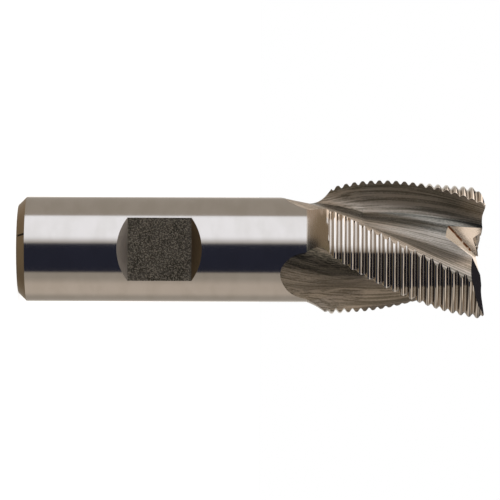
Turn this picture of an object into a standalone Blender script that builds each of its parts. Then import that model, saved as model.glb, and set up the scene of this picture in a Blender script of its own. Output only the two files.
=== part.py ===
"""Roughing end mill with a flatted shank, ground from one bar of high-speed steel.

The tool stands on its shank end. The origin is the centre of that face, +Z runs along the
tool to the cutting end, and the clamping flat faces -Y. Angles are anticlockwise seen from
+Z, which is the way the tool turns as it cuts, so each cutting edge leads its own land.
"""
import math

import bmesh
import bpy
from mathutils import Vector

# Lengths along the tool, in metres from the shank end
SHANK_LENGTH = 0.05245
HEAD_LENGTH = 0.03235
OVERALL_LENGTH = SHANK_LENGTH + HEAD_LENGTH
FIRST_CREST = SHANK_LENGTH + 0.00408
FLUTE_FULL_DEPTH_FROM = SHANK_LENGTH + 0.01045

# Shank
SHANK_DIAMETER = 0.01905
SHANK_CHAMFER = 0.0015
FLAT_CENTRE = 0.0259
FLAT_LENGTH = 0.01156
FLAT_DEPTH = 0.0019
FLAT_RAMP_ANGLE = 45

# Neck, a concave flare from the shank up to the cutter
NECK_ARC_RADIUS = 0.0112
NECK_START_SLOPE = 19
NECK_STEP = 0.00095

# Cutter
TEETH = 3
CUTTER_DIAMETER = 0.0254
HELIX_ANGLE = 30
FIRST_EDGE_ANGLE = -10.5
LAND_ANGLE = 42
LAND_RELIEF = 0.0013
CORNER_CHAMFER = 0.0008

# Roughing form: level grooves, staggered from tooth to tooth
GROOVE_PITCH = 0.001518
GROOVE_DEPTH = 0.00066
STEPS_PER_GROOVE = 6

# Flute section, square to the axis
CORE_DIAMETER = 0.012
RAKE_ANGLE = 9
RAKE_FILLET = 0.003
BACK_FILLET = 0.0024
BACK_SLOPE = 38
BACK_SLOPE_LENGTH = 0.0019
BACK_WALL_LEAN = 8
SHOULDER_RADIUS = 0.004
RUN_OUT_SLOPE = 0.232
RUN_OUT_SPREAD = 120
RUN_OUT_BOW = 0.8
RUN_OUT_CENTRE = 45
FLUTE_STEP = 0.0018
ARC_STEPS = 4

# End teeth
DISH_ANGLE = 5.7
END_RELIEF_ANGLE = 13.5
GASH_TURN = 13
GASH_DEPTH_AT_CENTRE = 0.0022
GASH_SLOPE = 37
GASH_OFFSET = 0.0007
GASH_FACE_LEAN = 8.5
GASH_FLOOR_WIDTH = 0.0023
GASH_FLOOR_FALL = 0.0011
GASH_BACK_LEAN = 43

# Mesh fineness, and how far cutters reach past what they cut
COLUMNS_PER_TOOTH = 15
COLUMNS_BEHIND_EDGE = 9
EDGE_COLUMN_LEAD = 0.5
CLEARANCE = 0.003

SHANK_RADIUS = SHANK_DIAMETER / 2
CUTTER_RADIUS = CUTTER_DIAMETER / 2
CORE_RADIUS = CORE_DIAMETER / 2
TOOTH_SPACING = math.tau / TEETH
TWIST_PER_METRE = math.tan(math.radians(HELIX_ANGLE)) / CUTTER_RADIUS


def clear_scene():
    for item in list(bpy.data.objects):
        bpy.data.objects.remove(item, do_unlink=True)


def edge_angle(z, tooth=0):
    """Angle of a tooth's cutting edge at height z."""
    at_end = math.radians(FIRST_EDGE_ANGLE) + tooth * TOOTH_SPACING
    return at_end + (z - OVERALL_LENGTH) * TWIST_PER_METRE


def polar(radius, angle):
    return Vector((radius * math.cos(angle), radius * math.sin(angle)))


def new_object(name, bm):
    bmesh.ops.recalc_face_normals(bm, faces=bm.faces)
    mesh = bpy.data.meshes.new(name)
    bm.to_mesh(mesh)
    bm.free()
    item = bpy.data.objects.new(name, mesh)
    bpy.context.collection.objects.link(item)
    return item


def skin_rings(bm, rings):
    """Join rings of equally many points into a closed skin with flat ends."""
    loops = [[bm.verts.new(point) for point in ring] for ring in rings]
    for lower, upper in zip(loops, loops[1:]):
        count = len(lower)
        for i in range(count):
            j = (i + 1) % count
            bm.faces.new((lower[i], lower[j], upper[j], upper[i]))
    bm.faces.new(list(reversed(loops[0])))
    bm.faces.new(loops[-1])


def neck_radius(z):
    """Radius of the concave flare, which starts with a crease at the end of the shank."""
    slope = math.radians(NECK_START_SLOPE)
    if z <= SHANK_LENGTH:
        return SHANK_RADIUS
    centre_z = SHANK_LENGTH - NECK_ARC_RADIUS * math.sin(slope)
    centre_r = SHANK_RADIUS + NECK_ARC_RADIUS * math.cos(slope)
    along = min(z - centre_z, NECK_ARC_RADIUS)
    return centre_r - math.sqrt(NECK_ARC_RADIUS ** 2 - along ** 2)


def groove_depth(z, tooth):
    """Depth of the roughing form, a wave that shifts a third of a pitch from tooth to tooth."""
    phase = (z - FIRST_CREST) / GROOVE_PITCH + (tooth + 1) / TEETH
    return GROOVE_DEPTH * math.sin(math.pi * phase) ** 2


def land_radius(z, lead, tooth):
    """Radius of the relieved land, where lead is the angle ahead of the cutting edge."""
    behind = min(-lead / math.radians(LAND_ANGLE), 1.3)
    corner = max(0.0, z - (OVERALL_LENGTH - CORNER_CHAMFER))
    return CUTTER_RADIUS - LAND_RELIEF * behind - max(groove_depth(z, tooth), corner)


def blank_ring(z):
    """One level ring of the blank, whose points follow the helix through the cutter."""
    column = TOOTH_SPACING / COLUMNS_PER_TOOTH
    points = []
    for tooth in range(TEETH):
        edge = edge_angle(max(z, SHANK_LENGTH), tooth)
        for step in range(COLUMNS_PER_TOOTH):
            lead = math.radians(EDGE_COLUMN_LEAD) + (step - COLUMNS_BEHIND_EDGE) * column
            radius = min(neck_radius(z), land_radius(z, min(lead, column), tooth))
            flat = polar(radius, edge + lead)
            points.append((flat.x, flat.y, z))
    return points


def blank_heights():
    """Levels of the rings: shank, flare, then a few for each groove of the cutter."""
    levels = [SHANK_CHAMFER, SHANK_LENGTH]
    step = GROOVE_PITCH / STEPS_PER_GROOVE
    level = SHANK_LENGTH + NECK_STEP
    while level < FIRST_CREST - step:
        levels.append(level)
        level += NECK_STEP
    count = math.ceil((OVERALL_LENGTH - FIRST_CREST) / step) + 2
    return levels + [FIRST_CREST + step * i for i in range(count)]


def make_blank():
    """Turned and relieved blank with the roughing form all along its lands."""
    rings = [blank_ring(z) for z in blank_heights()]
    face = [tuple(polar(SHANK_RADIUS - SHANK_CHAMFER, math.atan2(y, x))) + (0.0,)
            for x, y, z in rings[0]]
    bm = bmesh.new()
    skin_rings(bm, [face] + rings)
    return new_object("end_mill", bm)


def round_corner(before, corner, after, radius, steps):
    """Points of an arc that rounds the corner between two straight lines."""
    back = (before - corner).normalized()
    ahead = (after - corner).normalized()
    half = math.acos(max(-1.0, min(1.0, back.dot(ahead)))) / 2
    reach = min(radius / math.tan(half), 0.95 * (after - corner).length)
    radius = reach * math.tan(half)
    centre = corner + (back + ahead).normalized() * (radius / math.sin(half))
    start = corner + back * reach - centre
    end = corner + ahead * reach - centre
    turn = start.angle_signed(end)
    points = []
    for i in range(steps + 1):
        angle = math.atan2(start.y, start.x) - turn * i / steps
        points.append(centre + polar(radius, angle))
    return points


def fillet_to_core(wall_point, outward, to_void, radius):
    """Round the corner between a straight wall and the round core, from the wall inward.

    Returns the points and the angle at which the round meets the core.
    """
    across = wall_point.dot(to_void) + radius
    along = math.sqrt((CORE_RADIUS + radius) ** 2 - across ** 2)
    centre = outward * along + to_void * across
    start = math.atan2(-to_void.y, -to_void.x)
    turn = (math.atan2(-centre.y, -centre.x) - start + math.pi) % math.tau - math.pi
    arc = [centre + polar(radius, start + turn * i / ARC_STEPS) for i in range(ARC_STEPS + 1)]
    return arc, math.atan2(centre.y, centre.x)


def flute_section():
    """Section of a flute square to the axis, from its cutting edge round to the next heel.

    The edge lies on the X axis, the flute runs anticlockwise from it to the heel of the
    tooth in front. Its floor is part of the round core.
    """
    rake = math.radians(RAKE_ANGLE)
    edge = Vector((CUTTER_RADIUS, 0.0))
    rake_way = polar(1.0, rake)
    root, root_angle = fillet_to_core(edge, rake_way, polar(1.0, rake + math.pi / 2), RAKE_FILLET)

    heel_angle = TOOTH_SPACING - math.radians(LAND_ANGLE)
    heel = polar(CUTTER_RADIUS - LAND_RELIEF, heel_angle)
    slope_way = polar(1.0, heel_angle - math.pi / 2 - math.radians(BACK_SLOPE))
    shoulder = heel + slope_way * BACK_SLOPE_LENGTH
    wall = heel_angle + math.radians(BACK_WALL_LEAN)
    back, back_angle = fillet_to_core(shoulder, polar(1.0, wall), polar(1.0, wall - math.pi / 2),
                                      BACK_FILLET)

    floor = [polar(CORE_RADIUS, root_angle + (back_angle - root_angle) * i / ARC_STEPS)
             for i in range(1, ARC_STEPS)]
    bend = round_corner(back[0], shoulder, heel, SHOULDER_RADIUS, ARC_STEPS)
    top = edge + rake_way * CLEARANCE
    lip = heel - slope_way * CLEARANCE
    points = [top, edge] + root + floor + back[::-1] + bend + [heel, lip]
    start, end = math.atan2(lip.y, lip.x), math.atan2(top.y, top.x)
    outside = CUTTER_RADIUS + CLEARANCE
    return points + [polar(outside, start + (end - start) * i / 5) for i in range(1, 5)]


def backed_out(point, z, turn):
    """Where a point of the section lies once the wheel that ground the flute backs out of it.

    Toward the shank the wheel leaves along a slope. It cuts wider at the floor there, and
    its round front leaves a round end to the flute.
    """
    radius, lead = point.length, math.atan2(point.y, point.x)
    lift = max(0.0, (FLUTE_FULL_DEPTH_FROM - z) * RUN_OUT_SLOPE)
    near_floor = max(0.0, (CUTTER_RADIUS - radius) / (CUTTER_RADIUS - CORE_RADIUS))
    lead *= 1 + RUN_OUT_SPREAD * lift * near_floor
    bow = RUN_OUT_BOW * (lead - math.radians(RUN_OUT_CENTRE)) ** 2
    return polar(radius + lift * (1 + bow), lead + turn)


def flute_rings(tooth):
    section = flute_section()
    start = SHANK_LENGTH - CLEARANCE * 3
    count = math.ceil((OVERALL_LENGTH + CLEARANCE - start) / FLUTE_STEP)
    rings = []
    for i in range(count + 1):
        z = start + i * FLUTE_STEP
        flats = [backed_out(point, z, edge_angle(z, tooth)) for point in section]
        rings.append([(flat.x, flat.y, z) for flat in flats])
    return rings


def make_flute_cutter():
    """The three helical flutes, each a section carried up the helix and out at the neck."""
    bm = bmesh.new()
    for tooth in range(TEETH):
        skin_rings(bm, flute_rings(tooth))
    bmesh.ops.triangulate(bm, faces=bm.faces)
    return new_object("flute_cutter", bm)


def end_height(point, tooth):
    """Height of a tooth's end face: dished toward the axis, falling away behind its edge."""
    along = polar(1.0, edge_angle(OVERALL_LENGTH, tooth))
    behind = Vector((along.y, -along.x))
    dish = (CUTTER_RADIUS - point.dot(along)) * math.tan(math.radians(DISH_ANGLE))
    relief = point.dot(behind) * math.tan(math.radians(END_RELIEF_ANGLE))
    return OVERALL_LENGTH - dish - relief


def make_end_cutter():
    """Everything above the three relieved end faces, which meet in one point on the axis."""
    reach = CUTTER_RADIUS + CLEARANCE
    top = OVERALL_LENGTH + CLEARANCE
    leads = [math.radians(3) - TOOTH_SPACING * share for share in (0, 0.3, 0.6, 0.99)]
    floor, roof = [], []
    for tooth in reversed(range(TEETH)):
        for lead in leads:
            point = polar(reach, edge_angle(OVERALL_LENGTH, tooth) + lead)
            floor.append((point.x, point.y, end_height(point, tooth)))
            roof.append((point.x, point.y, top))
    bm = bmesh.new()
    low = [bm.verts.new(point) for point in floor]
    high = [bm.verts.new(point) for point in roof]
    apex = bm.verts.new((0, 0, end_height(Vector((0, 0)), 0)))
    for i, vert in enumerate(low):
        j = (i + 1) % len(low)
        bm.faces.new((apex, vert, low[j]))
        bm.faces.new((vert, high[i], high[j]))
        bm.faces.new((vert, high[j], low[j]))
    bm.faces.new(high)
    return new_object("end_cutter", bm)


def gash_section(valley):
    """The gash wheel's outline as offsets ahead of its own line and heights.

    A face that leans forward meets a slanted floor in the valley, and a sloped back
    rises from the floor's low side.
    """
    low = valley - GASH_FLOOR_FALL
    top = valley + OVERALL_LENGTH / 2
    far_side = GASH_OFFSET + GASH_FLOOR_WIDTH
    back = (top - low) * math.tan(math.radians(GASH_BACK_LEAN))
    face = (top - valley) * math.tan(math.radians(GASH_FACE_LEAN))
    return [(GASH_OFFSET, valley), (far_side, low), (far_side + back, top),
            (GASH_OFFSET + face, top)]


def make_gash_cutter(tooth):
    """Wheel cut under one end edge, rising inward and running past the axis."""
    along = polar(1.0, edge_angle(OVERALL_LENGTH, tooth) - math.radians(GASH_TURN))
    ahead = Vector((-along.y, along.x))
    rings = []
    for reach in (-CUTTER_RADIUS, CUTTER_RADIUS + CLEARANCE):
        valley = OVERALL_LENGTH - GASH_DEPTH_AT_CENTRE - reach * math.tan(math.radians(GASH_SLOPE))
        flats = [(along * reach + ahead * offset, z) for offset, z in gash_section(valley)]
        rings.append([(flat.x, flat.y, z) for flat, z in flats])
    bm = bmesh.new()
    skin_rings(bm, rings)
    return new_object("gash_cutter_%d" % (tooth + 1), bm)


def make_flat_cutter():
    """Block that grinds the clamping flat, with sloped ends."""
    floor = SHANK_RADIUS - FLAT_DEPTH
    rise = SHANK_RADIUS + CLEARANCE
    ramp = (rise - floor) / math.tan(math.radians(FLAT_RAMP_ANGLE))
    half = FLAT_LENGTH / 2
    outline = [(-floor, FLAT_CENTRE - half), (-floor, FLAT_CENTRE + half),
               (-rise, FLAT_CENTRE + half + ramp), (-rise, FLAT_CENTRE - half - ramp)]
    bm = bmesh.new()
    skin_rings(bm, [[(x, y, z) for y, z in outline] for x in (-rise, rise)])
    return new_object("flat_cutter", bm)


def cut(item, cutter):
    cutter.hide_render = True
    cutter.display_type = 'WIRE'
    boolean = item.modifiers.new(cutter.name, 'BOOLEAN')
    boolean.operation = 'DIFFERENCE'
    boolean.solver = 'EXACT'
    boolean.object = cutter


def ground_steel():
    material = bpy.data.materials.new("ground_steel")
    material.use_nodes = True
    shader = material.node_tree.nodes["Principled BSDF"]
    shader.inputs["Base Color"].default_value = (0.42, 0.39, 0.35, 1.0)
    shader.inputs["Metallic"].default_value = 1.0
    shader.inputs["Roughness"].default_value = 0.28
    return material


def build():
    clear_scene()
    mill = make_blank()
    cut(mill, make_flute_cutter())
    cut(mill, make_end_cutter())
    for tooth in range(TEETH):
        cut(mill, make_gash_cutter(tooth))
    cut(mill, make_flat_cutter())
    mill.data.materials.append(ground_steel())
    mill.data.shade_smooth()
    mill.data.set_sharp_from_angle(angle=math.radians(25))


build()
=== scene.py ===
import math
from collections import namedtuple

import bmesh
import bpy
import numpy as np
from mathutils import Matrix, Vector


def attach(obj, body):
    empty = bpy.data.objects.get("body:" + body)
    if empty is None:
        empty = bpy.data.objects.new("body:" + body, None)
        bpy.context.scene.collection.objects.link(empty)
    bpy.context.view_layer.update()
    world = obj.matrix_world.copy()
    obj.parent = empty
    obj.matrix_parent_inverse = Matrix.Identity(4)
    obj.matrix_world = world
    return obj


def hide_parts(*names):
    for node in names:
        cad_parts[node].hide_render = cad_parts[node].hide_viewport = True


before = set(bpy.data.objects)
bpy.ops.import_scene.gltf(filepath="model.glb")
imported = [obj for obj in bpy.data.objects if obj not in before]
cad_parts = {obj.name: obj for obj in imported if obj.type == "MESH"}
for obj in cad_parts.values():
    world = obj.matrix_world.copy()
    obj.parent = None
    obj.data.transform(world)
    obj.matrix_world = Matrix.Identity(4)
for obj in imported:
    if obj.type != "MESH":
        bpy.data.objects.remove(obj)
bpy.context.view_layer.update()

MM = 0.001
MICRON = 0.000001

# Whole tool
LENGTH = 84.8 * MM
SHANK_LENGTH = 52.45 * MM
SHANK_R = 9.525 * MM
SHANK_CHAMFER = 1.5 * MM
CUTTER_R = 12.7 * MM

# Clamping flat
FLAT_CENTRE = 25.9 * MM
FLAT_LENGTH = 11.56 * MM
FLAT_DEPTH = 1.9 * MM

# Neck
NECK_ARC_R = 11.2 * MM
NECK_START_SLOPE = math.radians(19)

# Lands and roughing form
TEETH = 3
TOOTH_SPACING = math.tau / TEETH
TWIST = math.tan(math.radians(30)) / CUTTER_R
FIRST_EDGE = math.radians(-10.5)
LAND_ANGLE = math.radians(42)
LAND_RELIEF = 1.3 * MM
RELIEF_RUN = 1.3
CORNER_CHAMFER = 0.8 * MM
PITCH = 1.518 * MM
GROOVE_DEPTH = 0.60 * MM
CREST_BREADTH = 1.5
FIRST_CREST = SHANK_LENGTH + 4.08 * MM

# Flutes
CORE_R = 6.0 * MM
RAKE_ANGLE = math.radians(9)
RAKE_FILLET = 3.0 * MM
BACK_FILLET = 2.4 * MM
BACK_SLOPE = math.radians(38)
BACK_SLOPE_LENGTH = 1.9 * MM
BACK_WALL_LEAN = math.radians(8)
SHOULDER_R = 4.0 * MM
SHOULDER_SHARE = 0.95
FULL_DEPTH_FROM = SHANK_LENGTH + 10.45 * MM
RUN_OUT_SLOPE = 0.232
RUN_OUT_SPREAD = 120
RUN_OUT_BOW = 0.8
RUN_OUT_CENTRE = math.radians(45)

# End teeth
DISH = math.tan(math.radians(5.7))
END_RELIEF = math.tan(math.radians(13.5))
END_FACE_START = math.radians(3)
END_FACE_CORNERS = (0, 0.3, 0.6, 0.99)
GASH_TURN = math.radians(13)
GASH_DEPTH = 2.2 * MM
GASH_SLOPE = math.tan(math.radians(37))
GASH_OFFSET = 0.7 * MM
GASH_FACE_LEAN = math.tan(math.radians(8.5))
GASH_FLOOR_WIDTH = 2.3 * MM
GASH_FLOOR_FALL = 1.1 * MM
GASH_BACK_LEAN = math.tan(math.radians(43))
GASH_HEIGHT = LENGTH / 2

# Fineness of the surfaces
STEPS_PER_GROOVE = 16
COLUMNS_PER_TOOTH = 36
COLUMNS_BEHIND_EDGE = round(COLUMNS_PER_TOOTH * 0.6)
COLUMN_SHIFT = math.radians(0.4)
NECK_STEP = 0.3 * MM
SHANK_STEP = 1.2 * MM
FLUTE_STEP = 0.45 * MM
ARC_STEPS = 14
OUTER_STEPS = 6

# Shading: the least turn at a sharp edge, and the height of the normal of a face that looks down
SHARP_EDGE = math.radians(32)
FACING_DOWN = -0.95

# How far cutting shapes and surfaces run past the metal that they meet
REACH = 3 * MM
FLUTE_START = SHANK_LENGTH - 3 * REACH
STEPS_PAST_END = 3
ANGLE_PAST_EDGE = 0.1

# Smaller than any shape of the tool
SMALL = 0.005 * MM

# Surfaces of the tool, in the order of its material slots
SURFACES = range(9)
SHANK, CHAMFER, NECK, LAND, FLUTE, GASH, END, FLAT, RAMP = SURFACES


def polar(radius, angle):
    return Vector((radius * math.cos(angle), radius * math.sin(angle)))


def edge_angle(z, tooth=0):
    """Angle of a tooth's cutting edge at height z."""
    return FIRST_EDGE + tooth * TOOTH_SPACING + (z - LENGTH) * TWIST


def neck_radius(z):
    """Radius of the shank, and above it of the concave arc that widens to the head."""
    if z <= SHANK_LENGTH:
        return SHANK_R
    centre_z = SHANK_LENGTH - NECK_ARC_R * math.sin(NECK_START_SLOPE)
    centre_r = SHANK_R + NECK_ARC_R * math.cos(NECK_START_SLOPE)
    along = min(z - centre_z, NECK_ARC_R)
    return centre_r - math.sqrt(NECK_ARC_R ** 2 - along ** 2)


def groove_depth(z, tooth):
    """Depth of the roughing form: broad round crests and narrower valleys."""
    phase = (z - FIRST_CREST) / PITCH + (tooth + 1) / TEETH
    return GROOVE_DEPTH * np.abs(np.sin(math.pi * phase)) ** (2 * CREST_BREADTH)


def land_radius(z, lead, tooth):
    """Radius of a relieved land at an angle ahead of its cutting edge, or behind it if below 0."""
    groove = groove_depth(z, tooth)
    corner = max(0.0, z - (LENGTH - CORNER_CHAMFER))
    behind = min(-lead / LAND_ANGLE, RELIEF_RUN)
    return CUTTER_R - LAND_RELIEF * behind - max(groove, corner)


def skin(bm, rings, slots, caps):
    """Join rings into a closed skin; slots gives the surface of each band."""
    loops = [[bm.verts.new(point) for point in ring] for ring in rings]
    for low, high, slot in zip(loops, loops[1:], slots):
        count = len(low)
        for i in range(count):
            j = (i + 1) % count
            bm.faces.new((low[i], low[j], high[j], high[i])).material_index = slot
    bm.faces.new(list(reversed(loops[0]))).material_index = caps[0]
    bm.faces.new(loops[-1]).material_index = caps[1]


def mesh_object(name, bm):
    bmesh.ops.recalc_face_normals(bm, faces=bm.faces)
    mesh = bpy.data.meshes.new(name)
    bm.to_mesh(mesh)
    bm.free()
    for surface in SURFACES:
        mesh.materials.append(None)
    item = bpy.data.objects.new(name, mesh)
    bpy.context.collection.objects.link(item)
    return item


def blank_levels():
    """Heights of the rings with the surface of the band above each."""
    levels = [(0.0, CHAMFER)]
    count = round((SHANK_LENGTH - SHANK_CHAMFER) / SHANK_STEP)
    for i in range(count):
        z = SHANK_CHAMFER + (SHANK_LENGTH - SHANK_CHAMFER) * i / count
        levels.append((z, SHANK))
    z = SHANK_LENGTH
    step = PITCH / STEPS_PER_GROOVE
    while z < FIRST_CREST - step:
        levels.append((z, NECK))
        z += NECK_STEP
    z = FIRST_CREST
    while z < LENGTH + STEPS_PAST_END * step:
        levels.append((z, LAND))
        z += step
    return levels


def make_blank():
    """Turned and form ground bar before the flutes, the end teeth and the flat are cut."""
    column = TOOTH_SPACING / COLUMNS_PER_TOOTH
    levels = blank_levels()
    rings = []
    for z, slot in levels:
        ring = []
        for tooth in range(TEETH):
            edge = edge_angle(max(z, SHANK_LENGTH), tooth)
            for step in range(COLUMNS_PER_TOOTH):
                lead = COLUMN_SHIFT + (step - COLUMNS_BEHIND_EDGE) * column
                land = land_radius(z, min(lead, ANGLE_PAST_EDGE), tooth)
                radius = min(neck_radius(z), land)
                if z == 0:
                    radius -= SHANK_CHAMFER
                flat = polar(radius, edge + lead)
                ring.append((flat.x, flat.y, z))
        rings.append(ring)
    bm = bmesh.new()
    skin(bm, rings, [slot for z, slot in levels], (CHAMFER, END))
    return mesh_object("ground_end_mill", bm)


def fillet_to_core(wall_point, outward, to_void, radius):
    """Round the corner between a straight wall and the round core, from the wall inward."""
    across = wall_point.dot(to_void) + radius
    along = math.sqrt((CORE_R + radius) ** 2 - across ** 2)
    centre = outward * along + to_void * across
    start = math.atan2(-to_void.y, -to_void.x)
    turn = (math.atan2(-centre.y, -centre.x) - start + math.pi) % math.tau - math.pi
    arc = [centre + polar(radius, start + turn * i / ARC_STEPS) for i in range(ARC_STEPS + 1)]
    return arc, math.atan2(centre.y, centre.x)


def round_shoulder(before, corner, after):
    """Round the corner between two points by the shoulder's radius, or less on a short side."""
    back = (before - corner).normalized()
    ahead = (after - corner).normalized()
    half = math.acos(max(-1.0, min(1.0, back.dot(ahead)))) / 2
    reach = min(SHOULDER_R / math.tan(half), SHOULDER_SHARE * (after - corner).length)
    radius = reach * math.tan(half)
    centre = corner + (back + ahead).normalized() * (radius / math.sin(half))
    start = corner + back * reach - centre
    end = corner + ahead * reach - centre
    turn = start.angle_signed(end)
    first = math.atan2(start.y, start.x)
    return [centre + polar(radius, first - turn * i / ARC_STEPS) for i in range(ARC_STEPS + 1)]


def flute_section():
    """Section of a flute square to the axis, from its cutting edge round to the next heel."""
    edge = Vector((CUTTER_R, 0.0))
    rake_way = polar(1.0, RAKE_ANGLE)
    root, root_angle = fillet_to_core(edge, rake_way, polar(1.0, RAKE_ANGLE + math.pi / 2),
                                      RAKE_FILLET)
    heel_angle = TOOTH_SPACING - LAND_ANGLE
    heel = polar(CUTTER_R - LAND_RELIEF, heel_angle)
    slope_way = polar(1.0, heel_angle - math.pi / 2 - BACK_SLOPE)
    shoulder = heel + slope_way * BACK_SLOPE_LENGTH
    wall_angle = heel_angle + BACK_WALL_LEAN
    back, back_angle = fillet_to_core(shoulder, polar(1.0, wall_angle),
                                      polar(1.0, wall_angle - math.pi / 2), BACK_FILLET)
    floor = [polar(CORE_R, root_angle + (back_angle - root_angle) * i / ARC_STEPS)
             for i in range(1, ARC_STEPS)]
    bend = round_shoulder(back[0], shoulder, heel)
    top = edge + rake_way * REACH
    lip = heel - slope_way * REACH
    start, end = math.atan2(lip.y, lip.x), math.atan2(top.y, top.x)
    outside = [polar(CUTTER_R + REACH, start + (end - start) * i / OUTER_STEPS)
               for i in range(1, OUTER_STEPS)]
    return [top, edge] + root + floor + back[::-1] + bend + [heel, lip] + outside


def backed_out(point, z, turn):
    """Where a point of the section lies once the grinding wheel backs out of the flute."""
    radius, lead = point.length, math.atan2(point.y, point.x)
    lift = max(0.0, (FULL_DEPTH_FROM - z) * RUN_OUT_SLOPE)
    near_floor = max(0.0, (CUTTER_R - radius) / (CUTTER_R - CORE_R))
    lead *= 1 + RUN_OUT_SPREAD * lift * near_floor
    bow = RUN_OUT_BOW * (lead - RUN_OUT_CENTRE) ** 2
    return polar(radius + lift * (1 + bow), lead + turn)


def make_flutes():
    """The three flutes as solids, skinned through turned and lifted copies of their section."""
    section = flute_section()
    count = math.ceil((LENGTH + REACH - FLUTE_START) / FLUTE_STEP)
    bm = bmesh.new()
    for tooth in range(TEETH):
        rings = []
        for i in range(count + 1):
            z = FLUTE_START + i * FLUTE_STEP
            flats = [backed_out(point, z, edge_angle(z, tooth)) for point in section]
            rings.append([(flat.x, flat.y, z) for flat in flats])
        skin(bm, rings, [FLUTE] * count, (FLUTE, FLUTE))
    bmesh.ops.triangulate(bm, faces=bm.faces)
    return mesh_object("flutes", bm)


def end_height(point, tooth):
    """Height of a tooth's end face, which falls toward the axis and behind the cutting edge."""
    along = polar(1.0, edge_angle(LENGTH, tooth))
    behind = Vector((along.y, -along.x))
    return LENGTH - (CUTTER_R - point.dot(along)) * DISH - point.dot(behind) * END_RELIEF


def make_end_faces():
    """Everything above the three relieved end faces."""
    leads = [END_FACE_START - TOOTH_SPACING * share for share in END_FACE_CORNERS]
    floor = []
    for tooth in reversed(range(TEETH)):
        for lead in leads:
            point = polar(CUTTER_R + REACH, edge_angle(LENGTH, tooth) + lead)
            floor.append((point.x, point.y, end_height(point, tooth)))
    bm = bmesh.new()
    low = [bm.verts.new(point) for point in floor]
    high = [bm.verts.new((x, y, LENGTH + REACH)) for x, y, z in floor]
    apex = bm.verts.new((0, 0, end_height(Vector((0, 0)), 0)))
    for i, vert in enumerate(low):
        j = (i + 1) % len(low)
        bm.faces.new((apex, vert, low[j]))
        bm.faces.new((vert, high[i], high[j]))
        bm.faces.new((vert, high[j], low[j]))
    bm.faces.new(high)
    for face in bm.faces:
        face.material_index = END
    return mesh_object("end_faces", bm)


def make_gash(tooth):
    """A gash beside a tooth's end: a leaning face, a slanted floor and a sloped back."""
    along = polar(1.0, edge_angle(LENGTH, tooth) - GASH_TURN)
    ahead = Vector((-along.y, along.x))
    far_side = GASH_OFFSET + GASH_FLOOR_WIDTH
    rings = []
    for reach in (-CUTTER_R, CUTTER_R + REACH):
        valley = LENGTH - GASH_DEPTH - reach * GASH_SLOPE
        low, top = valley - GASH_FLOOR_FALL, valley + GASH_HEIGHT
        section = [(GASH_OFFSET, valley), (far_side, low),
                   (far_side + (top - low) * GASH_BACK_LEAN, top),
                   (GASH_OFFSET + (top - valley) * GASH_FACE_LEAN, top)]
        ring = []
        for offset, z in section:
            flat = along * reach + ahead * offset
            ring.append((flat.x, flat.y, z))
        rings.append(ring)
    bm = bmesh.new()
    skin(bm, rings, [GASH], (GASH, GASH))
    return mesh_object("gash_%d" % tooth, bm)


def make_flat():
    """The clamping flat's cut, with a ramp of 45 degrees at each end."""
    floor = SHANK_R - FLAT_DEPTH
    rise = SHANK_R + REACH
    half = FLAT_LENGTH / 2
    ramp = rise - floor
    outline = [(-floor, FLAT_CENTRE - half), (-floor, FLAT_CENTRE + half),
               (-rise, FLAT_CENTRE + half + ramp), (-rise, FLAT_CENTRE - half - ramp)]
    bm = bmesh.new()
    skin(bm, [[(x, y, z) for y, z in outline] for x in (-rise, rise)], [RAMP], (RAMP, RAMP))
    for face in bm.faces:
        if abs(face.calc_center_median().y + floor) < SMALL:
            face.material_index = FLAT
    return mesh_object("flat", bm)


def carve(item, cutters):
    """Subtract the cutters, whose faces keep their own surface."""
    for cutter in cutters:
        boolean = item.modifiers.new(cutter.name, "BOOLEAN")
        boolean.operation = "DIFFERENCE"
        boolean.solver = "EXACT"
        boolean.object = cutter
    shape = item.evaluated_get(bpy.context.evaluated_depsgraph_get())
    mesh = bpy.data.meshes.new_from_object(shape)
    item.modifiers.clear()
    item.data = mesh
    for cutter in cutters:
        bpy.data.objects.remove(cutter, do_unlink=True)


def read_values(items, name, width=1, kind=np.float32):
    """One property of all of a mesh's vertices, corners or faces."""
    values = np.empty(len(items) * width, kind)
    items.foreach_get(name, values)
    return values.reshape(-1, width) if width > 1 else values


def land_normals(place, outward):
    """Normals of the relieved land with its roughing form, worked out from its formula."""
    angle = np.arctan2(place[:, 1], place[:, 0])
    radius = np.hypot(place[:, 0], place[:, 1])
    z = place[:, 2]
    around = np.stack([-outward[:, 1], outward[:, 0], np.zeros_like(z)], axis=1)
    upward = np.array([[0.0, 0.0, 1.0]])
    fall = LAND_RELIEF / LAND_ANGLE
    normals = np.zeros_like(outward)
    for tooth in range(TEETH):
        past_edge = angle - edge_angle(z, tooth) - ANGLE_PAST_EDGE
        own = past_edge % math.tau > math.tau - TOOTH_SPACING
        slope = (groove_depth(z + SMALL, tooth) - groove_depth(z - SMALL, tooth)) / (2 * SMALL)
        slope = slope + fall * TWIST
        made = outward + slope[:, None] * upward - (fall / radius)[:, None] * around
        made /= np.linalg.norm(made, axis=1)[:, None]
        normals[own] = made[own]
    return normals


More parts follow.
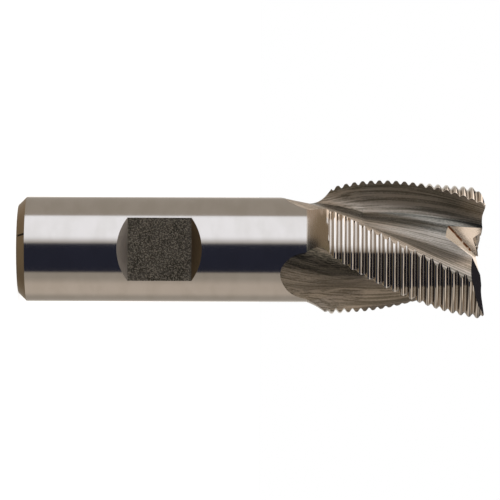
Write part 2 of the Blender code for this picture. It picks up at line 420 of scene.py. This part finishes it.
def true_normals(mesh):
    """Give the shank, the chamfer and the lands the normals of their true surfaces, and the
    plane faces their own."""
    mesh.shade_smooth()
    mesh.set_sharp_from_angle(angle=SHARP_EDGE)
    normals = read_values(mesh.corner_normals, "vector", 3)
    sizes = read_values(mesh.polygons, "loop_total", kind=np.int32)
    slot = np.repeat(read_values(mesh.polygons, "material_index", kind=np.int32), sizes)
    flat = np.repeat(read_values(mesh.polygons, "normal", 3), sizes, axis=0)
    vertex = read_values(mesh.loops, "vertex_index", kind=np.int32)
    place = read_values(mesh.vertices, "co", 3)[vertex]
    radius = np.hypot(place[:, 0], place[:, 1])
    outward = np.stack([place[:, 0] / radius, place[:, 1] / radius, np.zeros_like(radius)], axis=1)
    normals[slot == SHANK] = outward[slot == SHANK]
    cone = (slot == CHAMFER) & (flat[:, 2] > FACING_DOWN)
    normals[cone] = outward[cone] * math.sqrt(0.5) + [0, 0, -math.sqrt(0.5)]
    for kind in (GASH, END, FLAT, RAMP):
        normals[slot == kind] = flat[slot == kind]
    land = slot == LAND
    normals[land] = land_normals(place[land], outward[land])
    mesh.normals_split_custom_set(normals.tolist())


class Wire:
    """A value in a shader, on which Python's arithmetic adds Math nodes."""

    def __init__(self, graph, socket):
        self.graph = graph
        self.socket = socket

    def maths(self, operation, *others):
        values = dict(enumerate((self,) + others))
        return self.graph.node("ShaderNodeMath", {"operation": operation}, values)[0]

    def __add__(self, other):
        return self.maths("ADD", other)

    __radd__ = __add__

    def __sub__(self, other):
        return self.maths("SUBTRACT", other)

    def __rsub__(self, other):
        return (self * -1) + other

    def __mul__(self, other):
        return self.maths("MULTIPLY", other)

    __rmul__ = __mul__

    def __pow__(self, other):
        return self.maths("POWER", other)

    def __abs__(self):
        return self.maths("ABSOLUTE")


# A point of the tool: its place and radius in millimetres, and its angle round the axis
Place = namedtuple("Place", "x y z radius angle")


class Graph:
    """A node tree, to which every node is added by one method."""

    def __init__(self, tree):
        self.tree = tree
        tree.nodes.clear()

    def node(self, kind, settings=None, values=None):
        """Add a node; returns its outputs as wires, by number."""
        node = self.tree.nodes.new(kind)
        for name, value in (settings or {}).items():
            setattr(node, name, value)
        for name, value in (values or {}).items():
            if isinstance(value, Wire):
                self.tree.links.new(value.socket, node.inputs[name])
            else:
                node.inputs[name].default_value = value
        return [Wire(self, socket) for socket in node.outputs]

    def step(self, value, low, high):
        """0 below low, 1 above high, smooth between."""
        return self.node("ShaderNodeMapRange", {"interpolation_type": "SMOOTHSTEP"},
                         {0: value, 1: low, 2: high, 3: 0.0, 4: 1.0})[0]

    def blend(self, share, first, second):
        """Mix two colours."""
        return self.node("ShaderNodeMix", {"data_type": "RGBA"},
                         {0: share, 6: self.colour(first), 7: self.colour(second)})[2]

    @staticmethod
    def colour(value):
        return value if isinstance(value, Wire) else (*value, 1.0)

    def noise(self, x, y, z, scale=1.0, detail=2.0, roughness=0.5):
        """Noise whose grains are about one unit of x, y and z apart at a scale of 1."""
        vector = self.node("ShaderNodeCombineXYZ", {}, {0: x, 1: y, 2: z})[0]
        return self.node("ShaderNodeTexNoise", {},
                         {"Vector": vector, "Scale": scale, "Detail": detail,
                          "Roughness": roughness})[0]

    def place(self):
        point = self.node("ShaderNodeTexCoord")[3]
        x, y, z = self.node("ShaderNodeSeparateXYZ", {}, {0: point})
        x, y, z = x * (1 / MM), y * (1 / MM), z * (1 / MM)
        radius = (x * x + y * y) ** 0.5
        return Place(x, y, z, radius, y.maths("ARCTAN2", x))

    def bump(self, height, distance):
        """Normal of a height given in parts of the distance."""
        return self.node("ShaderNodeBump", {}, {"Strength": 1.0, "Distance": distance,
                                                "Height": height})[0]


def steel(name, finish):
    """A bare steel whose finish function gives colour, roughness and normal."""
    material = bpy.data.materials.new(name)
    material.use_nodes = True
    graph = Graph(material.node_tree)
    colour, roughness, normal = finish(graph)
    shader = graph.node("ShaderNodeBsdfPrincipled", {},
                        {"Base Color": graph.colour(colour), "Roughness": roughness,
                         "Metallic": 1.0, "Normal": normal})[0]
    graph.node("ShaderNodeOutputMaterial", {}, {"Surface": shader})
    return material


# Colours of the ground steel. In the finishes below, a factor on a length in a noise is grains
# per millimetre, and a factor on an angle is grains per radian.
SHANK_STEEL = (0.66, 0.63, 0.595)
SHANK_CLOUD = (0.62, 0.59, 0.55)
CHAMFER_STEEL = (0.50, 0.43, 0.33)
CHAMFER_LINE = (0.40, 0.345, 0.27)
NECK_STEEL = (0.60, 0.545, 0.48)
NECK_LINE = (0.50, 0.45, 0.39)
LAND_STEEL = (0.84, 0.80, 0.75)
LAND_LINE = (0.72, 0.68, 0.62)
# Painted shade on the flanks of the land's grooves
LAND_FLANK_SHADE = (0.40, 0.345, 0.29)
# Painted highlight along the cutting edges
EDGE_HIGHLIGHT = (0.86, 0.85, 0.83)
# Darker flute tone: partly grinding streaks, partly painted shade of the hollow flute
FLUTE_STREAK_AND_SHADE = (0.24, 0.22, 0.18)
FLUTE_PALE = (0.56, 0.505, 0.44)
# Painted shade on the rake faces, much darker than the rest of the flute
RAKE_SHADE_DARK = (0.085, 0.085, 0.072)
RAKE_SHADE_PALE = (0.31, 0.29, 0.25)
GASH_STEEL = (0.88, 0.845, 0.80)
GASH_LINE = (0.74, 0.70, 0.65)
HEAT_BROWN = (0.32, 0.155, 0.055)
END_STEEL = (0.66, 0.62, 0.57)
END_LINE = (0.56, 0.52, 0.47)
SKIN_DARK = (0.060, 0.054, 0.042)
SKIN_WORN = (0.10, 0.09, 0.072)
SKIN_SPECK = (0.31, 0.275, 0.22)
# Ramps of the flat, painted as shaded and lit copies of one ground steel
SHADED_RAMP_STEEL = (0.40, 0.31, 0.23)
SHADED_RAMP_LINE = (0.24, 0.19, 0.145)
LIT_RAMP_STEEL = (0.62, 0.575, 0.52)
LIT_RAMP_LINE = (0.34, 0.335, 0.33)
NICK_DARK = (0.05, 0.045, 0.04)

# Where the finishes change, as the start and the end of a fade: shares of the way from a cutting
# edge to the next one, angles in radians, and heights, depths and distances in millimetres
NICK_ANGLE = math.radians(-106.5)
NICK_SIDE = (0.014, 0.03)
NICK_BOTTOM = (0.1, 0.4)
# Depths below the crest between which the groove flanks get painted shade
SHADED_FLANK_TOP = (0.07, 0.18)
SHADED_FLANK_BOTTOM = (0.44, 0.56)
# Where the painted highlight along the cutting edge begins
EDGE_HIGHLIGHT_FROM = (0.982, 0.992)
FLUTE_FLOOR_START = (0.14, 0.24)
FLUTE_FLOOR_END = (0.40, 0.52)
# Shares round from the edge where the rake's painted shade fades out
SHADED_RAKE_END = (0.20, 0.34)
STAIN_SIDE = (0.14, 0.42)
BETWEEN_RAMPS = (20.0, 30.0)

# Contrast: the values of a noise at which one colour ends and the next has taken over
SHANK_CONTRAST = (0.35, 0.7)
FLUTE_CONTRAST = (0.43, 0.57)
STAIN_CONTRAST = (0.3, 0.5)
PEBBLE_CONTRAST = (0.43, 0.66)
SKIN_CONTRAST = (0.35, 0.65)

# Grinding lines of a flute from one cutting edge to the next
LINES_ROUND_TOOTH = 60


def shank_finish(graph):
    """Cylindrically ground: fine lines around the shank."""
    at = graph.place()
    lines = graph.noise(at.z * 9, at.angle * 1.2, 0.0, detail=3.0, roughness=0.6)
    cloud = graph.noise(at.z * 0.35, at.angle * 1.5, 0.3)
    colour = graph.blend(graph.step(cloud, *SHANK_CONTRAST), SHANK_STEEL, SHANK_CLOUD)
    roughness = 0.10 + 0.07 * lines
    return colour, roughness, graph.bump(lines, 4 * MICRON)


def chamfer_finish(graph):
    """Ground cone with one small dark nick."""
    at = graph.place()
    lines = graph.noise(at.radius * 14, at.angle * 1.5, at.z * 14, detail=3.0, roughness=0.6)
    colour = graph.blend(lines, CHAMFER_STEEL, CHAMFER_LINE)
    nick = 1 - graph.step(abs(at.angle - NICK_ANGLE), *NICK_SIDE)
    nick = nick * graph.step(at.z, *NICK_BOTTOM)
    colour = graph.blend(nick, colour, NICK_DARK)
    roughness = 0.34 + 0.12 * lines
    return colour, roughness, graph.bump(lines, 10 * MICRON)


def neck_finish(graph):
    """Plunge ground arc with lines around the tool."""
    at = graph.place()
    lines = graph.noise(at.z * 10, at.angle * 1.5, at.radius * 3, detail=3.0, roughness=0.6)
    colour = graph.blend(lines, NECK_STEEL, NECK_LINE)
    roughness = 0.22 + 0.1 * lines
    return colour, roughness, graph.bump(lines, 8 * MICRON)


def helix_angle(at):
    """A place's angle round the axis, less the turn of the helix."""
    return at.angle - (at.z - LENGTH / MM) * (TWIST * MM)


def share_round(turned):
    """How far round from a cutting edge a place lies, from 0 at one edge to 1 at the next."""
    return ((turned - FIRST_EDGE) * (1 / TOOTH_SPACING)).maths("FLOORED_MODULO", 1.0)


def land_finish(graph):
    """Form ground crests and valleys, lines around the tool, painted shade on the flanks of the
    grooves and a painted highlight along the cutting edge.
    """
    at = graph.place()
    share = share_round(helix_angle(at))
    lines = graph.noise(at.z * 5, at.angle * 1.5, at.radius * 2, roughness=0.6)
    colour = graph.blend(lines, LAND_STEEL, LAND_LINE)
    crest = (CUTTER_R - (1 - share) * (LAND_RELIEF * TOOTH_SPACING / LAND_ANGLE)) * (1 / MM)
    depth = crest - at.radius
    # Painted shade: the flanks of the grooves, between crest and valley, are darkened
    flank_shade = graph.step(depth, *SHADED_FLANK_TOP) * (1 - graph.step(depth, *SHADED_FLANK_BOTTOM))
    colour = graph.blend(flank_shade, colour, LAND_FLANK_SHADE)
    # Painted highlight: a bright strip along the cutting edge, which is also made rougher
    edge = graph.step(share, *EDGE_HIGHLIGHT_FROM)
    colour = graph.blend(edge, colour, EDGE_HIGHLIGHT)
    roughness = 0.06 + 0.04 * lines + 0.25 * edge
    return colour, roughness, graph.bump(lines, 1 * MICRON)


def flute_finish(graph):
    """Creep ground: fine lines along the helix, with darker streaks between them that are partly
    grinding marks and partly painted shade of the hollow flute, and painted shade darkening the
    rake face.
    """
    at = graph.place()
    turned = helix_angle(at)
    share = share_round(turned)
    floor = graph.step(share, *FLUTE_FLOOR_START) * (1 - graph.step(share, *FLUTE_FLOOR_END))
    fineness = 0.7 + 2.2 * (1 - floor)
    around, outward = share * LINES_ROUND_TOOTH, at.radius * fineness
    lines = graph.noise(around, outward, at.z * 0.05, detail=3.0, roughness=0.7)
    streaks = graph.noise(around * 0.3, outward * 0.3, at.z * 0.07)
    u, v = at.radius * turned.maths("COSINE"), at.radius * turned.maths("SINE")
    grain = graph.noise(u * 5, v * 5, at.z * 3.0)
    # The streaks' darker tone is partly grinding marks and partly painted shade of the hollow
    # flute
    tint = graph.step(lines * 0.6 + streaks * 0.25 + grain * 0.15, *FLUTE_CONTRAST)
    # Painted shade: the rake face next to the cutting edge gets much darker colours; it is also
    # made smoother
    shaded_rake = 1 - graph.step(share, *SHADED_RAKE_END)
    colour = graph.blend(shaded_rake, graph.blend(tint, FLUTE_STREAK_AND_SHADE, FLUTE_PALE),
                         graph.blend(tint, RAKE_SHADE_DARK, RAKE_SHADE_PALE))
    roughness = 0.42 - 0.24 * shaded_rake + 0.12 * lines
    return colour, roughness, graph.bump(lines + 0.4 * grain, 40 * MICRON)


def gash_finish(graph):
    """Plunge ground faces with slanting lines, stained brown by heat along the valley."""
    at = graph.place()
    turn = edge_angle(LENGTH) - GASH_TURN
    half = TOOTH_SPACING / 2
    local = (at.angle - turn + half).maths("FLOORED_MODULO", TOOTH_SPACING) - half
    along = at.radius * local.maths("COSINE")
    ahead = at.radius * local.maths("SINE")
    rise = at.z - (LENGTH - GASH_DEPTH) / MM + along * GASH_SLOPE
    off = ahead - GASH_OFFSET / MM
    stain = 1 - graph.step((off * off + rise * rise) ** 0.5, *STAIN_SIDE)
    patch = graph.noise(at.x, at.y, at.z, scale=1.6, detail=3.0)
    lines = graph.noise(rise * 6, off * 6, along * 0.5, detail=3.0, roughness=0.6)
    colour = graph.blend(lines, GASH_STEEL, GASH_LINE)
    stain = stain * graph.step(patch, *STAIN_CONTRAST)
    colour = graph.blend(stain, colour, HEAT_BROWN)
    roughness = 0.18 + 0.10 * lines
    return colour, roughness, graph.bump(lines, 10 * MICRON)


def end_finish(graph):
    """Ground end faces, nearly bright."""
    at = graph.place()
    lines = graph.noise(at.x * 6, at.y, at.z * 2, roughness=0.6)
    colour = graph.blend(lines, END_STEEL, END_LINE)
    roughness = 0.07 + 0.06 * lines
    return colour, roughness, graph.bump(lines, 2 * MICRON)


def flat_finish(graph):
    """Rough dark skin with a pebbled grain."""
    at = graph.place()
    grain = graph.noise(at.x, at.y, at.z, scale=3.9, detail=3.0, roughness=0.65)
    patch = graph.noise(at.x, at.y, at.z, scale=0.35)
    dark = graph.blend(graph.step(patch, *SKIN_CONTRAST), SKIN_DARK, SKIN_WORN)
    colour = graph.blend(graph.step(grain, *PEBBLE_CONTRAST), dark, SKIN_SPECK)
    return colour, 0.50, graph.bump(grain, 150 * MICRON)


def ramp_finish(graph):
    """Ground ramps with lines across the tool, painted as lit and shaded copies of one steel:
    paler, as if lit, on the ramp nearer the shank's end.
    """
    at = graph.place()
    lines = graph.noise(at.x * 0.6, at.y * 8, at.z * 8, roughness=0.6)
    # Painted light: the ramp nearer the shank's end gets the paler, lit colours
    lit_low_ramp = 1 - graph.step(at.z, *BETWEEN_RAMPS)
    colour = graph.blend(lines, graph.blend(lit_low_ramp, SHADED_RAMP_STEEL, LIT_RAMP_STEEL),
                         graph.blend(lit_low_ramp, SHADED_RAMP_LINE, LIT_RAMP_LINE))
    roughness = 0.24 + 0.12 * lines
    return colour, roughness, graph.bump(lines, 10 * MICRON)


def make_tool():
    tool = make_blank()
    cutters = [make_flutes(), make_end_faces()]
    cutters += [make_gash(tooth) for tooth in range(TEETH)]
    cutters.append(make_flat())
    carve(tool, cutters)
    finishes = [("ground_shank", shank_finish), ("shank_chamfer", chamfer_finish),
                ("ground_neck", neck_finish), ("form_ground_land", land_finish),
                ("ground_flute", flute_finish), ("ground_gash", gash_finish),
                ("relieved_end", end_finish), ("rough_flat", flat_finish),
                ("flat_ramp", ramp_finish)]
    for slot, (name, finish) in enumerate(finishes):
        tool.data.materials[slot] = steel(name, finish)
    true_normals(tool.data)
    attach(tool, "root")
    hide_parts("end_mill")


# Floor, a square sheet
FLOOR_HALF_WIDTH = 3.0
FLOOR_GREY = (0.45, 0.45, 0.45)
FLOOR_GLOW = 0.88
WHITE = (1.0, 1.0, 1.0)


def make_floor():
    """Pale floor, hidden from the steel, which mirrors the light tent's own table instead."""
    bm = bmesh.new()
    bmesh.ops.create_grid(bm, x_segments=1, y_segments=1, size=FLOOR_HALF_WIDTH)
    mesh = bpy.data.meshes.new("floor")
    bm.to_mesh(mesh)
    bm.free()
    floor = bpy.data.objects.new("floor", mesh)
    bpy.context.collection.objects.link(floor)
    material = bpy.data.materials.new("pale_floor")
    material.use_nodes = True
    graph = Graph(material.node_tree)
    shader = graph.node("ShaderNodeBsdfPrincipled", {},
                        {"Base Color": graph.colour(FLOOR_GREY), "Roughness": 0.9,
                         "Emission Color": graph.colour(WHITE),
                         "Emission Strength": FLOOR_GLOW})[0]
    graph.node("ShaderNodeOutputMaterial", {}, {"Surface": shader})
    mesh.materials.append(material)
    floor.visible_glossy = False
    floor.visible_diffuse = False


# Light tent. Each card is seen from the tool between two angles around it, 0 at the camera and
# positive toward +X, and between two heights toward the cutting end, all in degrees. Then come
# the softness of its rim and its light. A later card hangs in front of an earlier one.
ROOM_LIGHT = (0.39, 0.35, 0.305)
SOFT_BOX_LIGHT = (1.18, 1.20, 1.28)
ALL_ROUND = (-181, 181)
CARDS = {
    "table": (ALL_ROUND, (-91, -34), 6, (0.30, 0.235, 0.165)),
    "table_far_left": ((-150, -60), (-42, -9), 4, (0.52, 0.42, 0.34)),
    "ceiling": (ALL_ROUND, (48, 91), 6, (0.30, 0.24, 0.195)),
    "shelf_left": ((-157, -62), (10, 46), 4, (1.40, 1.20, 1.05)),
    "lamp_over_left": ((-179, -90), (46, 84), 5, (1.30, 1.16, 1.04)),
    "backdrop_left": ((-200, -160), (-13, 13), 10, (0.80, 0.76, 0.71)),
    "backdrop_right": ((160, 200), (-13, 13), 10, (0.80, 0.76, 0.71)),
    "dark_behind_left": ((-190, -154), (13, 40), 2, (0.022, 0.020, 0.024)),
    "dark_behind_right": ((158, 190), (13, 40), 2, (0.022, 0.020, 0.024)),
    "dark_table": ((-22, 125), (-64, -26), 7, (0.055, 0.055, 0.058)),
    "black_table": ((-30, 80), (-62, -39), 4, (0.016, 0.016, 0.018)),
    "olive_strip": ((-12, 60), (-38, -31), 2, (0.17, 0.18, 0.145)),
    "olive_floor": ((-12, 60), (-91, -70), 4, (0.19, 0.18, 0.11)),
    "brown_shelf": ((-14, 100), (32, 48), 3, (0.90, 0.74, 0.57)),
    "dark_shelf": ((38, 104), (8, 29), 3, (0.055, 0.047, 0.042)),
    "dark_shelf_far": ((98, 142), (7, 27), 3, (0.066, 0.060, 0.060)),
    "pale_strip": ((76, 122), (-24, 4), 12, (0.62, 0.54, 0.465)),
    "lamp_overhead": ((-12, 130), (48, 66), 3, (0.80, 0.74, 0.68)),
    "dark_overhead": ((-20, 70), (68, 91), 3, (0.030, 0.030, 0.035)),
    "black_card": ((-13, 52.5), (-27, 30), 1.6, (0.022, 0.024, 0.040)),
    "zenith": (ALL_ROUND, (82, 91), 2, (1.15, 1.06, 0.98)),
    "soft_box": ((-78.8, -34), (-30, 62), 1.2, SOFT_BOX_LIGHT),
    "soft_box_fade": ((-52, -19.5), (-30, 62), 10, SOFT_BOX_LIGHT),
}


def card_mask(graph, angle, height, angles, heights, rim):
    """1 inside a card, 0 outside it."""
    mask = graph.step(angle, angles[0] - rim, angles[0] + rim)
    mask = mask * (1 - graph.step(angle, angles[1] - rim, angles[1] + rim))
    mask = mask * graph.step(height, heights[0] - rim, heights[0] + rim)
    return mask * (1 - graph.step(height, heights[1] - rim, heights[1] + rim))


def light_tent():
    """World light: soft box, lamps, pale and dark cards in a warm room. The camera sees white."""
    world = bpy.data.worlds.new("light_tent")
    bpy.context.scene.world = world
    world.use_nodes = True
    graph = Graph(world.node_tree)
    way = graph.node("ShaderNodeTexCoord")[0]
    x, y, z = graph.node("ShaderNodeSeparateXYZ", {}, {0: way})
    angle = x.maths("ARCTAN2", y * -1) * math.degrees(1)
    height = z.maths("ARCSINE") * math.degrees(1)
    light = ROOM_LIGHT
    for angles, heights, rim, card_light in CARDS.values():
        light = graph.blend(card_mask(graph, angle, height, angles, heights, rim), light,
                            card_light)
    seen = graph.node("ShaderNodeLightPath")[0]
    colour = graph.blend(seen, light, WHITE)
    background = graph.node("ShaderNodeBackground", {}, {"Color": colour, "Strength": 1.0})[0]
    graph.node("ShaderNodeOutputWorld", {}, {"Surface": background})


# Camera, turned on its side so that the tool lies across the picture
CAMERA_DISTANCE = 0.79
PICTURE_WIDTH = 91.1 * MM
CAMERA_YAW = math.radians(0.95)
CAMERA_ROLL = math.radians(0.2)
AIM = Vector((0.08 * MM, 0.0, 42.12 * MM))
SENSOR_WIDTH = 36.0
CLIP_END = 20.0


def make_camera():
    away = Vector((0.0, -math.cos(CAMERA_YAW), math.sin(CAMERA_YAW)))
    along = Vector((0.0, away.z, -away.y))
    up = away.cross(along)
    right = along * math.cos(CAMERA_ROLL) + up * math.sin(CAMERA_ROLL)
    up = up * math.cos(CAMERA_ROLL) - along * math.sin(CAMERA_ROLL)
    lens = bpy.data.cameras.new("camera")
    lens.sensor_width = SENSOR_WIDTH
    lens.lens = SENSOR_WIDTH * CAMERA_DISTANCE / PICTURE_WIDTH
    lens.clip_end = CLIP_END
    camera = bpy.data.objects.new("camera", lens)
    bpy.context.collection.objects.link(camera)
    turn = Matrix((right, up, away)).transposed().to_4x4()
    camera.matrix_world = Matrix.Translation(AIM + away * CAMERA_DISTANCE) @ turn
    bpy.context.scene.camera = camera


bpy.context.scene.view_settings.view_transform = "Standard"
make_camera()
make_tool()
make_floor()
light_tent()
